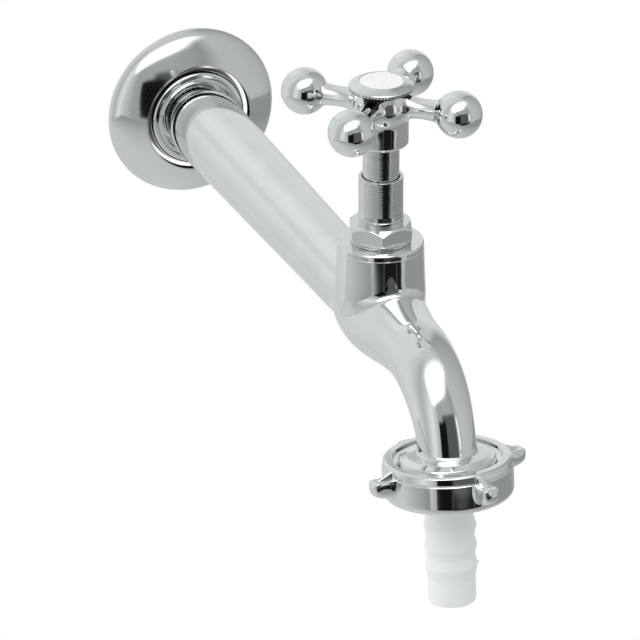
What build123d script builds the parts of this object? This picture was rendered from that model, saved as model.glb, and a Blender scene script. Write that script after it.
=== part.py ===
from build123d import *
from math import cos, radians, sin
import os

# Wall-mounted kitchen tap with a long arm, a cross handle and a hose union.
# Millimetres. +Z is up, the wall is the plane y = 0 and the tap reaches out along -Y.
# The origin is where the inlet axis meets the wall.

# Driving dimensions of the whole tap
reach = 157.8                   # wall to the valve axis
arm_wall_r = 11.7               # arm radius just off the wall
arm_valve_r = 9.8               # arm radius where the valve chamber starts
belly_r = 12.0                  # valve chamber, widest
boss_r = 12.4                   # boss that takes the headwork
boss_top = 23.0
boss_rim_height = 1.8           # softly rounded rim above a fine turned line
boss_fillet = 1.8

# Inlet at the wall, G 1/2 male thread
thread_r = 10.48
thread_length = 16.0
inlet_bore_r = 7.5
collar_r = 15.9
collar_face = 8.0               # front of the collar, out from the wall
mouth_r = 11.8                  # open mouth round the arm's neck
mouth_floor = 5.0
neck_thread_r = 10.0
neck_r = 10.5
neck_end = 3.0                  # inner end of the arm, out from the wall
neck_shoulder = 12.2            # where the arm proper starts
thread_clearance = 0.05         # screwed pieces are drawn as plain cylinders

# Wall escutcheon, pressed sheet
escutcheon_r = 27.0
escutcheon_lip_r = 16.7
escutcheon_height = 8.2
sheet = 0.8

# Spout: straight out of the chamber, a wide bend, a short run and a last turn
horn_start = 22.8               # from the valve axis to the start of the bend
horn_start_r = 9.6
horn_mid_r = 9.05
horn_end_r = 8.3
bend_r = 26.45
bend_angle = 56.1
run_length = 6.8
turn_r = 10.3
outlet_tilt = 6.7               # outlet axis off vertical, foot leaning away from the wall

# Water passages
arm_bore_r = 7.0
throat_r = 4.1                  # passage that dips under the seat
throat_z = -4.9
throat_start = 138.0
port_r = 4.6                    # port out of the chamber into the spout
port_z = 5.6
chamber_r = 7.4
chamber_floor = 0.9
seat_hole_r = 4.5
seat_rim_r = 5.8
seat_top = 2.1
spout_bore_r = 6.4

# Headwork
bonnet_thread_r = 7.7
bonnet_foot = 13.0
gasket = 0.5
bonnet_ring_r = 8.8
bonnet_lip_r = 8.4               # inside of the thin lip round the gasket
bonnet_lip_gap = 0.1
ring_top = 23.8
hex_across_flats = 17.0
hex_top = 29.0
hex_turn = 12.4                 # angle of one corner of the hexagon
sleeve_r = 6.38
sleeve_top = 42.8
sleeve_bore_r = 5.28
spindle_r = 5.22
spindle_thread_r = 5.85
spindle_foot = 7.0
spindle_shoulder = 54.3
spindle_top = 63.3
spindle_square = 7.0
thread_stop = 24.5              # shoulder in the bonnet that stops the spindle's thread
groove_depth = 0.9
groove_width = 1.1
ring_section_r = 0.42
ring_levels = (27.5, 31.5)
jumper_stem_r = 2.5
jumper_hole_r = 2.58
jumper_r = 6.2
stud_r = 1.5
stud_foot = -0.6
washer_height = 2.8

# Cross handle
hub_r = 7.8
hub_foot = 52.7
hub_top = 69.0
arm_level = 65.0
ball_r = 6.68
ball_circle_r = 23.1
handle_turn = 47.2              # angle of one arm
arm_waist_r = 2.9
arm_root_r = 3.9
web_top = 66.0                  # web under the screw's head
screw_r = 2.0
screw_head_r = 3.5
screw_head_height = 2.0
screw_washer_height = 0.7
cap_r = 9.2
cap_top = 71.8
cap_neck_r = 8.1
band_foot = 69.6
cap_spigot_r = 6.5
band_top = 70.4
mill_count = 60
disc_r = 6.2

# Hose union, G 3/4, measured along the outlet axis from the nut's upper rim
outlet_thread_r = 13.2
outlet_collar_r = 13.7
outlet_end = -5.2
nut_r = 18.45
nut_height = 11.5
nut_mouth_r = 15.3
nut_hole_r = 8.0
nut_floor = -9.3
lug_turn = 8.0                  # angle of one lug
lug_level = -2.7
lug_reach = 6.0
lug_width = 4.8
tail_r = 6.75
tail_ridge_r = 7.35
tail_bore_r = 4.7
tail_end = -43.6
ridge_levels = (-20.8, -26.6, -32.4)
ridge_pitch = 5.8
nib_level = -31.1
tail_flange_r = 12.3
hose_washer_height = 2.0

os.makedirs("parts", exist_ok=True)

valve_axis = Axis((0, -reach, 0), (0, 0, 1))
valve_section = Plane.XZ.offset(reach)          # local x is the radius, local y the height


def valve_plane(height):
    """Level plane at a height, centred on the valve axis."""
    return Plane(origin=(0, -reach, height), x_dir=(1, 0, 0), z_dir=(0, 0, 1))


# The spout's centre line lies in the plane x = 0
with BuildLine(Plane.YZ) as spout_route:
    bend = JernArc((-reach - horn_start, 0), (-1, 0), bend_r, bend_angle)
    run = Line(bend @ 1, (bend @ 1) + (bend % 1) * run_length)
    turn = JernArc(run @ 1, run % 1, turn_r, 90 - outlet_tilt - bend_angle)
spout_line = spout_route.wire()
with BuildLine(Plane.YZ) as bore_route:
    add(spout_route.line)
    Line(turn @ 1, (turn @ 1) + (turn % 1) * (0.5 - outlet_end))
bore_line = bore_route.wire()

outlet_point = spout_line @ 1
outlet_up = Vector(0, sin(radians(outlet_tilt)), cos(radians(outlet_tilt)))
outlet_axis = Axis(outlet_point, outlet_up)


def outlet_plane(angle):
    """Plane through the outlet axis: local x points out at an angle, local y runs up the axis."""
    side = Vector(1, 0, 0)
    outward = side * cos(radians(angle)) + outlet_up.cross(side) * sin(radians(angle))
    return Plane(origin=outlet_point, x_dir=outward, z_dir=outward.cross(outlet_up))


outlet_section = outlet_plane(0)


# Inlet adapter: collar against the wall, male thread behind it, socket for the arm in front
with BuildPart() as inlet_adapter:
    with BuildSketch(Plane.XY):
        with BuildLine():
            collar_side = Line((collar_r, 0), (collar_r, -5.6))
            collar_round = ThreePointArc(collar_side @ 1, (15.2, -7.2), (13.6, -collar_face))
            Polyline(
                collar_round @ 1,
                (mouth_r + 0.5, -collar_face),
                (mouth_r, -collar_face + 0.5),
                (mouth_r, -mouth_floor),
                (neck_thread_r + thread_clearance, -mouth_floor),
                (neck_thread_r + thread_clearance, -1.2),
                (inlet_bore_r, -1.2),
                (inlet_bore_r, thread_length),
                (thread_r - 0.8, thread_length),
                (thread_r, thread_length - 0.8),
                (thread_r, 0),
                (collar_r, 0),
            )
        make_face()
    revolve(axis=Axis.Y)
inlet_adapter.part.label = "inlet_adapter"
export_step(inlet_adapter.part, "parts/inlet_adapter.step")


# Flat fibre washer that the arm's neck presses against the adapter
with BuildPart() as inlet_washer:
    with BuildSketch(Plane.XZ.offset(1.2)):
        Circle(neck_thread_r - 0.2)
        Circle(inlet_bore_r, mode=Mode.SUBTRACT)
    extrude(amount=neck_end - 1.2)
inlet_washer.part.label = "inlet_washer"
export_step(inlet_washer.part, "parts/inlet_washer.step")


# Escutcheon: domed dish with a lip that turns in on the collar
with BuildPart() as wall_escutcheon:
    with BuildSketch(Plane.XY):
        with BuildLine():
            rim = Line((escutcheon_r, 0), (escutcheon_r, -0.6))
            dish = Spline(
                rim @ 1,
                (26.2, -2.1),
                (24.3, -4.1),
                (21.0, -6.2),
                (escutcheon_lip_r + 0.4, -escutcheon_height),
                tangents=[(-0.2, -1), (-1, -0.42)],
            )
            lip = ThreePointArc(
                dish @ 1,
                (escutcheon_lip_r - 0.15, 0.15 - escutcheon_height),
                (escutcheon_lip_r - 0.4, 1.0 - escutcheon_height),
            )
            inner_lip = Line(lip @ 1, (collar_r + 0.1, 2.4 - escutcheon_height))
            inner_dish = Spline(
                inner_lip @ 1,
                (20.8, -6.2 + sheet),
                (23.9, -4.1 + sheet),
                (escutcheon_r - sheet, -0.8),
                tangents=[(1, 0.35), (0.2, 1)],
            )
            Polyline(inner_dish @ 1, (escutcheon_r - sheet, 0), rim @ 0)
        make_face()
    revolve(axis=Axis.Y)
wall_escutcheon.part.label = "wall_escutcheon"
export_step(wall_escutcheon.part, "parts/wall_escutcheon.step")


# Cast body: arm, valve chamber, boss and spout in one, with its waterways
with BuildPart() as tap_body:
    # Arm and chamber turned about the inlet axis
    with BuildSketch(Plane.XY):
        with BuildLine():
            neck = Polyline(
                (0, -neck_end),
                (neck_thread_r, -neck_end),
                (neck_thread_r, -mouth_floor - 1.6),
                (neck_r, -mouth_floor - 2.4),
                (neck_r, -neck_shoulder),
            )
            shoulder = ThreePointArc(neck @ 1, (arm_wall_r - 0.5, -12.8), (arm_wall_r, -14.6))
            arm = Line(shoulder @ 1, (arm_valve_r, -reach + 15.0))
            belly = Spline(
                arm @ 1,
                (10.2, -reach + 11.4),
                (11.1, -reach + 8.0),
                (belly_r, -reach),
                (11.25, -reach - 9.5),
                (horn_start_r, -reach - horn_start),
                tangents=[arm % 1, (-0.055, -1)],
            )
            Polyline(belly @ 1, (0, -reach - horn_start), (0, -neck_end))
        make_face()
    revolve(axis=Axis.Y)

    # Spout, tapering along its bend
    for station, radius in ((0, horn_start_r), (0.5, horn_mid_r), (1, horn_end_r)):
        with BuildSketch(Plane(spout_line ^ station)):
            Circle(radius)
    sweep(path=spout_line, multisection=True)

    # Boss, drawn in at its foot where it runs out into the chamber
    with BuildSketch(valve_section):
        with BuildLine():
            rim = ThreePointArc(
                (boss_r - 0.6, boss_top),
                (boss_r - 0.15, boss_top - 0.45),
                (boss_r, boss_top - boss_rim_height + 0.1),
            )
            wall = Polyline(
                rim @ 1,
                (boss_r - 0.12, boss_top - boss_rim_height),
                (boss_r, boss_top - boss_rim_height - 0.1),
                (boss_r, 7.0),
            )
            foot = ThreePointArc(wall @ 1, (12.1, 2.6), (11.2, -1.5))
            Polyline(foot @ 1, (0, -1.5), (0, boss_top), rim @ 0)
        make_face()
    revolve(axis=valve_axis)

    # Outlet: flare, stepped collar and the union thread
    with BuildSketch(outlet_section):
        with BuildLine():
            flare = ThreePointArc((horn_end_r - 0.2, 3.2), (9.0, 1.3), (10.8, 0.6))
            Polyline(
                flare @ 1,
                (10.8, 0.3),
                (12.4, 0.1),
                (outlet_collar_r, -0.3),
                (outlet_collar_r, -1.4),
                (outlet_thread_r, -1.6),
                (outlet_thread_r, outlet_end + 0.5),
                (outlet_thread_r - 0.5, outlet_end),
                (0, outlet_end),
                (0, 3.2),
                flare @ 0,
            )
        make_face()
    revolve(axis=outlet_axis)

    # Rounded root where the boss meets the chamber
    boss_root = (
        tap_body.edges()
        .filter_by(GeomType.BSPLINE)
        .filter_by_position(Axis.Z, 0.5, boss_top - 9)
        .filter_by_position(Axis.Y, -reach - boss_r - 2, -reach + boss_r + 2)
    )
    fillet(boss_root, radius=boss_fillet)

    # Headwork thread, valve chamber and the raised seat
    with BuildSketch(valve_section):
        with BuildLine():
            Polyline(
                (0, boss_top + 1),
                (0, seat_top),
                (seat_rim_r, seat_top),
                (seat_rim_r + 0.4, chamber_floor),
                (chamber_r, chamber_floor),
                (chamber_r, bonnet_foot - 1),
                (bonnet_thread_r + thread_clearance, bonnet_foot - 0.5),
                (bonnet_thread_r + thread_clearance, boss_top + 1),
                close=True,
            )
        make_face()
    revolve(axis=valve_axis, mode=Mode.SUBTRACT)

    # Bore of the arm, and the throat that carries the water under the seat
    with BuildSketch(Plane.XZ.offset(neck_end)):
        Circle(neck_thread_r - 2)
    with BuildSketch(Plane.XZ.offset(throat_start)):
        Circle(arm_bore_r)
    loft(mode=Mode.SUBTRACT)
    with BuildSketch(Plane.XZ.offset(throat_start)):
        Circle(arm_bore_r)
    with BuildSketch(Plane.XZ.offset(throat_start + 10.5)):
        with Locations((0, throat_z)):
            Circle(throat_r)
    loft(mode=Mode.SUBTRACT)
    with BuildSketch(Plane.XZ.offset(throat_start + 10.5)):
        with Locations((0, throat_z)):
            Circle(throat_r)
    extrude(amount=reach - throat_start - 10.5 + 2, mode=Mode.SUBTRACT)
    with BuildSketch(valve_plane(throat_z)):
        Circle(seat_hole_r)
    extrude(amount=seat_top - throat_z, mode=Mode.SUBTRACT)

    # Outlet port from the chamber, and the bore that follows the spout out through its end
    with BuildSketch(Plane.XZ.offset(reach + seat_rim_r + 0.5)):
        with Locations((0, port_z)):
            Circle(port_r)
    with BuildSketch(Plane.XZ.offset(reach + horn_start)):
        Circle(spout_bore_r)
    loft(mode=Mode.SUBTRACT)
    with BuildSketch(Plane(bore_line ^ 0)):
        Circle(spout_bore_r)
    sweep(path=bore_line, mode=Mode.SUBTRACT)
tap_body.part.label = "tap_body"
export_step(tap_body.part, "parts/tap_body.step")


# Bonnet: threaded foot, ring, hexagon and the sleeve round the spindle
with BuildPart() as bonnet:
    with BuildSketch(valve_section):
        with BuildLine():
            Polyline(
                (spindle_thread_r + thread_clearance, bonnet_foot),
                (bonnet_thread_r - 0.5, bonnet_foot),
                (bonnet_thread_r, bonnet_foot + 0.5),
                (bonnet_thread_r, boss_top + gasket),
                (bonnet_lip_r, boss_top + gasket),
                (bonnet_lip_r, boss_top + bonnet_lip_gap),
                (bonnet_ring_r, boss_top + bonnet_lip_gap),
                (bonnet_ring_r, ring_top - 0.3),
                (bonnet_ring_r - 0.3, ring_top),
                (sleeve_r, ring_top),
                (sleeve_r, hex_top + 1.3),
                (sleeve_r - 0.2, hex_top + 1.5),
                (sleeve_r, hex_top + 1.7),
                (sleeve_r, sleeve_top - 0.25),
                (sleeve_r - 0.25, sleeve_top),
                (sleeve_bore_r + 0.2, sleeve_top),
                (sleeve_bore_r + 0.2, sleeve_top - 1.8),
                (sleeve_bore_r, sleeve_top - 2.0),
                (sleeve_bore_r, thread_stop),
                (spindle_thread_r + thread_clearance, thread_stop),
                close=True,
            )
        make_face()
    revolve(axis=valve_axis)
    with BuildSketch(valve_plane(ring_top)):
        RegularPolygon(hex_across_flats / 2, 6, major_radius=False, rotation=hex_turn)
        Circle(sleeve_r - 0.4, mode=Mode.SUBTRACT)
    extrude(amount=hex_top - ring_top)
    # The turned chamfer that rounds the corners of the hexagon
    with BuildSketch(valve_section):
        Polygon(
            (hex_across_flats / 2 - 0.3, hex_top + 0.1),
            (hex_across_flats / 2 + 2.3, hex_top + 0.1),
            (hex_across_flats / 2 + 2.3, hex_top - 1.5),
            align=None,
        )
    revolve(axis=valve_axis, mode=Mode.SUBTRACT)
bonnet.part.label = "bonnet"
export_step(bonnet.part, "parts/bonnet.step")


# Flat gasket between the boss and the bonnet, inside the bonnet's lip
with BuildPart() as bonnet_gasket:
    with BuildSketch(valve_plane(boss_top)):
        Circle(bonnet_lip_r - 0.05)
        Circle(bonnet_thread_r + 0.1, mode=Mode.SUBTRACT)
    extrude(amount=gasket)
bonnet_gasket.part.label = "bonnet_gasket"
export_step(bonnet_gasket.part, "parts/bonnet_gasket.step")


# Spindle: bored foot for the jumper, thread, ground shank with two ring grooves, square end
with BuildPart() as spindle:
    with BuildSketch(valve_section):
        with BuildLine():
            below_grooves = Polyline(
                (0, spindle_foot),
                (spindle_thread_r - 1.2, spindle_foot),
                (spindle_thread_r - 1.0, spindle_foot + 1.5),
                (spindle_thread_r - 0.4, spindle_foot + 1.5),
                (spindle_thread_r, spindle_foot + 1.9),
                (spindle_thread_r, spindle_foot + 11.1),
                (spindle_thread_r - 0.4, spindle_foot + 11.5),
                (spindle_r - 0.6, spindle_foot + 11.5),
                (spindle_r - 0.6, spindle_foot + 13.0),
                (spindle_r, spindle_foot + 13.6),
            )
            Polyline(
                below_grooves @ 1,
                (spindle_r, spindle_shoulder - 0.3),
                (spindle_r - 0.3, spindle_shoulder),
                (0, spindle_shoulder),
                (0, spindle_foot),
            )
        make_face()
    revolve(axis=valve_axis)
    with BuildSketch(valve_section):
        for level in ring_levels:
            with Locations((spindle_r, level)):
                Rectangle(2 * groove_depth, groove_width)
    revolve(axis=valve_axis, mode=Mode.SUBTRACT)
    with BuildSketch(valve_plane(spindle_shoulder)):
        RectangleRounded(spindle_square, spindle_square, 0.6)
    extrude(amount=spindle_top - spindle_shoulder)
    with BuildSketch(valve_plane(spindle_foot)):
        Circle(jumper_hole_r)
    extrude(amount=9, mode=Mode.SUBTRACT)
    with BuildSketch(valve_plane(spindle_top)):
        Circle(screw_r + thread_clearance)
    extrude(amount=-11, mode=Mode.SUBTRACT)
spindle.part.label = "spindle"
export_step(spindle.part, "parts/spindle.step")


# Rubber rings in the spindle's two grooves
for level, ring_name in zip(ring_levels, ("spindle_ring_lower", "spindle_ring_upper")):
    with BuildPart(Plane((0, -reach, level))) as spindle_ring:
        Torus(spindle_r - groove_depth + ring_section_r + 0.01, ring_section_r)
    spindle_ring.part.label = ring_name
    export_step(spindle_ring.part, f"parts/{ring_name}.step")


# Jumper: stem in the spindle, plate above the washer, stud below it
with BuildPart() as jumper:
    with BuildSketch(valve_section):
        with BuildLine():
            Polyline(
                (0, stud_foot),
                (stud_r, stud_foot),
                (stud_r, seat_top + washer_height),
                (jumper_r - 0.5, seat_top + washer_height),
                (jumper_r, seat_top + washer_height + 0.4),
                (jumper_r, spindle_foot - 0.4),
                (jumper_r - 0.6, spindle_foot),
                (jumper_stem_r, spindle_foot),
                (jumper_stem_r, spindle_foot + 7.6),
                (jumper_stem_r - 0.6, spindle_foot + 8.2),
                (0, spindle_foot + 8.2),
                close=True,
            )
        make_face()
    revolve(axis=valve_axis)
jumper.part.label = "jumper"
export_step(jumper.part, "parts/jumper.step")


# Rubber washer that closes on the seat
with BuildPart() as seat_washer:
    with BuildSketch(valve_plane(seat_top)):
        Circle(jumper_r - 0.2)
        Circle(stud_r + 0.05, mode=Mode.SUBTRACT)
    extrude(amount=washer_height)
    chamfer(seat_washer.faces().sort_by(Axis.Z)[0].outer_wire().edges(), length=0.4)
seat_washer.part.label = "seat_washer"
export_step(seat_washer.part, "parts/seat_washer.step")


# Nut that holds the washer, inside the hole of the seat
with BuildPart() as washer_nut:
    with BuildSketch(valve_plane(seat_top)):
        RegularPolygon(2.75, 6, major_radius=False, rotation=0)
        Circle(stud_r + 0.05, mode=Mode.SUBTRACT)
    extrude(amount=-2.0)
washer_nut.part.label = "washer_nut"
export_step(washer_nut.part, "parts/washer_nut.step")


# Cross handle: hub with four arms that swell into balls
with BuildPart() as handle_cross:
    with BuildSketch(valve_section):
        with BuildLine():
            hub_side = Polyline(
                (0, hub_foot),
                (hub_r - 1.7, hub_foot),
            )
            hub_round = ThreePointArc(
                hub_side @ 1, (hub_r - 0.5, hub_foot + 0.5), (hub_r, hub_foot + 1.8)
            )
            hub_wall = Line(hub_round @ 1, (hub_r, arm_level - 4.2))
            hub_belt = Spline(
                hub_wall @ 1,
                (hub_r + 0.75, arm_level - 2.4),
                (hub_r + 0.95, arm_level - 0.8),
                (hub_r + 0.7, arm_level + 1.2),
                (hub_r + 0.2, arm_level + 2.6),
                (hub_r - 0.4, hub_top - 0.2),
                tangents=[(0.2, 1), (-0.6, 1)],
            )
            Polyline(hub_belt @ 1, (hub_r - 0.6, hub_top), (0, hub_top), (0, hub_foot))
        make_face()
    revolve(axis=valve_axis)

    for quarter in range(4):
        angle = radians(handle_turn + 90 * quarter)
        arm_plane = Plane(
            origin=(0, -reach, arm_level), x_dir=(cos(angle), sin(angle), 0), z_dir=(0, 0, 1)
        )
        with BuildSketch(arm_plane):
            with BuildLine():
                arm_outline = Spline(
                    (hub_r - 0.6, arm_root_r),
                    (hub_r + 1.6, arm_waist_r + 0.4),
                    (hub_r + 4.6, arm_waist_r),
                    (ball_circle_r - ball_r + 1.3, arm_waist_r + 1.1),
                    tangents=[(1, -0.6), (1, 0.9)],
                )
                Polyline(
                    arm_outline @ 1, (ball_circle_r, arm_waist_r), (ball_circle_r, 0), (0, 0),
                    (0, arm_root_r), arm_outline @ 0,
                )
            make_face()
        revolve(axis=Axis(arm_plane.origin, arm_plane.x_dir))
        with Locations(arm_plane.from_local_coords(Vector(ball_circle_r, 0, 0))):
            Sphere(ball_r)

    # Recess for the index cap, screw hole, square socket and the bore round the spindle
    with BuildSketch(valve_plane(hub_top)):
        Circle(cap_spigot_r + 0.05)
    extrude(amount=-(hub_top - web_top), mode=Mode.SUBTRACT)
    with BuildSketch(valve_plane(web_top)):
        Circle(screw_r + 0.25)
    extrude(amount=-(web_top - spindle_top), mode=Mode.SUBTRACT)
    with BuildSketch(valve_plane(spindle_shoulder)):
        RectangleRounded(spindle_square + 0.1, spindle_square + 0.1, 0.6)
    extrude(amount=spindle_top - spindle_shoulder, mode=Mode.SUBTRACT)
    with BuildSketch(valve_plane(hub_foot)):
        Circle(spindle_r + 0.1)
    extrude(amount=spindle_shoulder - hub_foot, mode=Mode.SUBTRACT)
handle_cross.part.label = "handle_cross"
export_step(handle_cross.part, "parts/handle_cross.step")


# Spring washer and slotted screw that hold the handle on the spindle
with BuildPart() as screw_washer:
    with BuildSketch(valve_plane(web_top)):
        Circle(screw_head_r + 0.2)
        Circle(screw_r + 0.15, mode=Mode.SUBTRACT)
    extrude(amount=screw_washer_height)
screw_washer.part.label = "screw_washer"
export_step(screw_washer.part, "parts/screw_washer.step")

with BuildPart() as handle_screw:
    with BuildSketch(valve_plane(web_top + screw_washer_height)):
        Circle(screw_head_r)
    extrude(amount=screw_head_height)
    fillet(handle_screw.edges().sort_by(Axis.Z)[-1], radius=0.6)
    with BuildSketch(valve_plane(web_top + screw_washer_height)):
        Circle(screw_r)
    extrude(amount=-12)
    with BuildSketch(valve_plane(web_top + screw_washer_height + screw_head_height)):
        Rectangle(2 * screw_head_r + 1, 0.9)
    extrude(amount=-1.0, mode=Mode.SUBTRACT)
handle_screw.part.label = "handle_screw"
export_step(handle_screw.part, "parts/handle_screw.step")


# Index cap: milled band, bevel, recess for the disc and a spigot into the hub
with BuildPart() as index_bezel:
    with BuildSketch(valve_section):
        with BuildLine():
            bezel_inside = Polyline(
                (disc_r + 0.05, cap_top - 0.1),
                (disc_r + 0.05, cap_top - 0.8),
                (0, cap_top - 0.8),
                (0, hub_top + 0.8),
                (cap_spigot_r - 1.4, hub_top + 0.8),
                (cap_spigot_r - 1.4, hub_top - 1.8),
                (cap_spigot_r, hub_top - 1.8),
                (cap_spigot_r, hub_top),
                (cap_neck_r, hub_top),
                (cap_neck_r, band_foot),
            )
            band = Polyline(
                bezel_inside @ 1,
                (cap_r, band_foot),
                (cap_r, band_top),
                (cap_r - 0.2, band_top + 0.2),
            )
            bevel = ThreePointArc(band @ 1, (7.85, cap_top - 0.53), (disc_r + 0.4, cap_top))
            Line(bevel @ 1, bezel_inside @ 0)
        make_face()
    revolve(axis=valve_axis)
    with BuildSketch(valve_plane(band_foot)):
        with PolarLocations(cap_r + 0.12, mill_count):
            Circle(0.3)
    extrude(amount=band_top - band_foot, mode=Mode.SUBTRACT)
index_bezel.part.label = "index_bezel"
export_step(index_bezel.part, "parts/index_bezel.step")


# Plain white index disc, slightly domed
with BuildPart() as index_disc:
    with BuildSketch(valve_section):
        with BuildLine():
            Polyline((disc_r, cap_top - 0.15), (disc_r, cap_top - 0.8), (0, cap_top - 0.8),
                     (0, cap_top + 0.1))
            ThreePointArc((0, cap_top + 0.1), (disc_r / 2, cap_top + 0.04), (disc_r, cap_top - 0.15))
        make_face()
    revolve(axis=valve_axis)
index_disc.part.label = "index_disc"
export_step(index_disc.part, "parts/index_disc.step")


# Union nut with four lugs to turn it by hand
with BuildPart() as union_nut:
    with BuildSketch(outlet_section):
        with BuildLine():
            nut_side = Polyline(
                (nut_hole_r, nut_floor),
                (nut_hole_r, -nut_height + 0.3),
                (nut_hole_r + 0.3, -nut_height),
                (nut_r - 2.0, -nut_height),
            )
            nut_round = ThreePointArc(
                nut_side @ 1, (nut_r - 0.6, -nut_height + 0.6), (nut_r, -nut_height + 2.0)
            )
            Polyline(
                nut_round @ 1,
                (nut_r, -2.9),
                (nut_r - 0.25, -2.6),
                (nut_r - 0.1, -2.2),
                (nut_r - 0.2, -0.7),
                (nut_r - 0.8, 0),
                (nut_mouth_r + 0.5, 0),
                (nut_mouth_r, -0.4),
                (nut_mouth_r, -1.1),
                (outlet_thread_r + thread_clearance, -1.9),
                (outlet_thread_r + thread_clearance, nut_floor),
                (nut_hole_r, nut_floor),
            )
        make_face()
    revolve(axis=outlet_axis)
    for quarter in range(4):
        lug_plane = outlet_plane(lug_turn + 90 * quarter)
        # Body of the lug, rounded underneath
        with BuildSketch(lug_plane):
            with BuildLine():
                lug_top = Polyline(
                    (nut_r - 1.2, -8.6),
                    (nut_r - 1.2, lug_level),
                    (nut_r + lug_reach - 0.6, lug_level),
                    (nut_r + lug_reach, lug_level - 0.6),
                    (nut_r + lug_reach, lug_level - 2.4),
                )
                ThreePointArc(
                    lug_top @ 1, (nut_r + lug_reach - 2.2, -7.4), (nut_r - 1.2, -8.6)
                )
            make_face()
        extrude(amount=lug_width / 2, both=True)
        # Thin gusset from the lug up to the rim
        with BuildSketch(lug_plane):
            Polygon(
                (nut_r - 1.2, lug_level - 0.2),
                (nut_r + lug_reach - 1.6, lug_level - 0.2),
                (nut_r - 0.4, -0.4),
                (nut_r - 1.2, -0.4),
                align=None,
            )
        extrude(amount=0.7, both=True)
union_nut.part.label = "union_nut"
export_step(union_nut.part, "parts/union_nut.step")


# Rubber washer between the spout's end and the hose tail
with BuildPart() as hose_washer:
    with BuildSketch(outlet_section):
        with Locations(((tail_bore_r + 0.8 + tail_flange_r - 0.2) / 2,
                        outlet_end - hose_washer_height / 2)):
            Rectangle(tail_flange_r - tail_bore_r - 1.0, hose_washer_height)
    revolve(axis=outlet_axis)
hose_washer.part.label = "hose_washer"
export_step(hose_washer.part, "parts/hose_washer.step")


# Hose tail: flange inside the nut, three soft ridges, plain tip and a moulding nib
with BuildPart() as hose_tail:
    with BuildSketch(outlet_section):
        with BuildLine():
            tail_top = Polyline(
                (tail_r, -18.0),
                (tail_r, nut_floor),
                (tail_flange_r, nut_floor),
                (tail_flange_r, outlet_end - hose_washer_height),
                (tail_bore_r, outlet_end - hose_washer_height),
                (tail_bore_r, tail_end + 0.3),
                (tail_bore_r + 0.4, tail_end),
                (tail_r - 1.6, tail_end),
            )
            tip = ThreePointArc(
                tail_top @ 1, (tail_r - 0.45, tail_end + 0.45), (tail_r, tail_end + 1.6)
            )
            plain = Line(tip @ 1, (tail_r, tail_end + 7.6))
            ridge_points = []
            for crest in ridge_levels[::-1]:
                ridge_points += [(tail_ridge_r, crest), (tail_r, crest + ridge_pitch / 2)]
            Spline(
                plain @ 1,
                *ridge_points[:-1],
                tail_top @ 0,
                tangents=[(0, 1), (0, 1)],
            )
        make_face()
    revolve(axis=outlet_axis)
    with BuildSketch(outlet_section.offset(-0.6)):
        with Locations((tail_r + 0.6, nib_level)):
            Ellipse(1.2, 0.55)
    extrude(amount=1.2)
hose_tail.part.label = "hose_tail"
export_step(hose_tail.part, "parts/hose_tail.step")
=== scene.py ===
import math

import bpy
import bmesh
import numpy as np
from mathutils import Matrix, Vector


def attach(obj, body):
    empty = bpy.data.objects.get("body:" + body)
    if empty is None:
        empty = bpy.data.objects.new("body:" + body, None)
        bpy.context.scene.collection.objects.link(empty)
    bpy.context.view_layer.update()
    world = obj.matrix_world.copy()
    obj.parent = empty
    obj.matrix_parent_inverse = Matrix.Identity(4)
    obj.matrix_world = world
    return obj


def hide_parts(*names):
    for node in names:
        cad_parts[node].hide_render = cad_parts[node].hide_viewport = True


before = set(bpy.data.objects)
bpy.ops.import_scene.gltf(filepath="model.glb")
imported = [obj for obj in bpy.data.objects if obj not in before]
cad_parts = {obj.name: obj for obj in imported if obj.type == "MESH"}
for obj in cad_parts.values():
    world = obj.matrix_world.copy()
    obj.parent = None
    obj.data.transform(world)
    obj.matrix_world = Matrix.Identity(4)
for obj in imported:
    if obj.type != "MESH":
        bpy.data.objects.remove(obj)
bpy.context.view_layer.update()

# Chrome-plated wall tap with a cross handle and a hose union.
# Lengths are in millimetres up to add_piece, which turns them to metres.
# The wall is y = 0, the arm runs along -Y and the valve axis is upright.
MM = 0.001

# Body
REACH = 157.8
NECK_FRONT = 14.6               # where the arm proper starts, out from the wall
ARM_WALL_R = 11.7
BOSS_R = 12.4
BOSS_TOP = 23.0
BOSS_LINE = 21.2                # fine turned line under the boss's rim
BOSS_FILLET = 1.8
HORN_START = 25.62
BEND_R = 24.78
OUTLET_TILT = math.radians(6.7)
BEND_ANGLE = math.pi / 2 - OUTLET_TILT
LINE_LENGTH = HORN_START + BEND_R * BEND_ANGLE

# Headwork and handle, heights above the inlet axis
RING_TOP = 23.8
HEX_TOP = 29.0
HEX_ACROSS = 17.0
HEX_TURN = math.radians(12.4)
SLEEVE_R = 6.38
SLEEVE_TOP = 42.8
SPINDLE_R = 5.22
SPINDLE_SHOULDER = 54.3
SPINDLE_TOP = 63.3
HUB_R = 7.8
HUB_FOOT = 52.7
HUB_TOP = 69.0
ARM_LEVEL = 65.0
BALL_R = 6.68
BALL_CIRCLE = 23.1
HANDLE_TURN = math.radians(47.2)
QUARTER_TURN = math.pi / 2
CAP_R = 9.2
CAP_TOP = 71.8
BAND_FOOT = 69.6
BAND_TOP = 70.4
DISC_R = 6.2

# Union, measured along the outlet axis from the nut's upper rim
NUT_R = 18.45
NUT_HEIGHT = 11.5
NUT_MOUTH_R = 15.3
LUG_TURN = math.radians(8.0)
LUG_REACH = 6.0
TAIL_R = 6.75
TAIL_END = -43.6
NIB_LEVEL = -33.4

# Places where painted shade darkens the plate, in the narrow gaps between parts
SEAM_R = 16.0                   # between the rosette's lip and the wall collar
CAP_GAP = BAND_FOOT - 0.5       # under the milled band


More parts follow.
